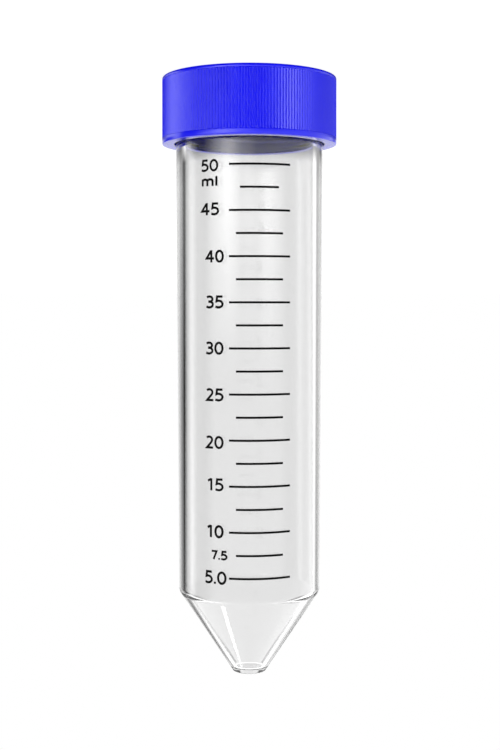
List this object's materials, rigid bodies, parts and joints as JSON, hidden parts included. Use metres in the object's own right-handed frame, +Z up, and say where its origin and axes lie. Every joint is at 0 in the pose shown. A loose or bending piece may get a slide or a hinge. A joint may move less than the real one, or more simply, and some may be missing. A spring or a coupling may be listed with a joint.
{
  "type": "50 ml conical tube",
  "caption": "Clear plastic laboratory tube with a conical end, a printed volume scale and a ribbed blue screw cap, standing on its cap.",
  "frame": {"origin": "middle of the cap's flat outer face, which the tube stands on upside down", "axes": "+Z up the tube's axis from the cap to the conical tip, -Y towards the side with the printed scale"},
  "size_m": [0.0342, 0.0342, 0.1165],
  "materials": {
    "cap": "satin",
    "liner": "matte",
    "tube": "gloss",
    "print": "matte"
  },
  "bodies": {
    "cap": {"cap": "cap"},
    "seal": {"liner": "liner"},
    "tube": {"tube": "tube"}
  },
  "joints": [
    {"name": "cap_turn", "type": "hinge", "parent": "cap", "child": "seal", "pos_m": [0, 0, 0], "axis": [0, 0, 1], "range_deg": [0, 1800]},
    {"name": "cap_lift", "type": "slide", "parent": "seal", "child": "tube", "axis": [0, 0, 1], "range_m": [0, 0.01701]}
  ],
  "couplings": [
    {"joint": "cap_lift", "follows": "cap_turn", "m_per_rad": 0.00054113}
  ]
}
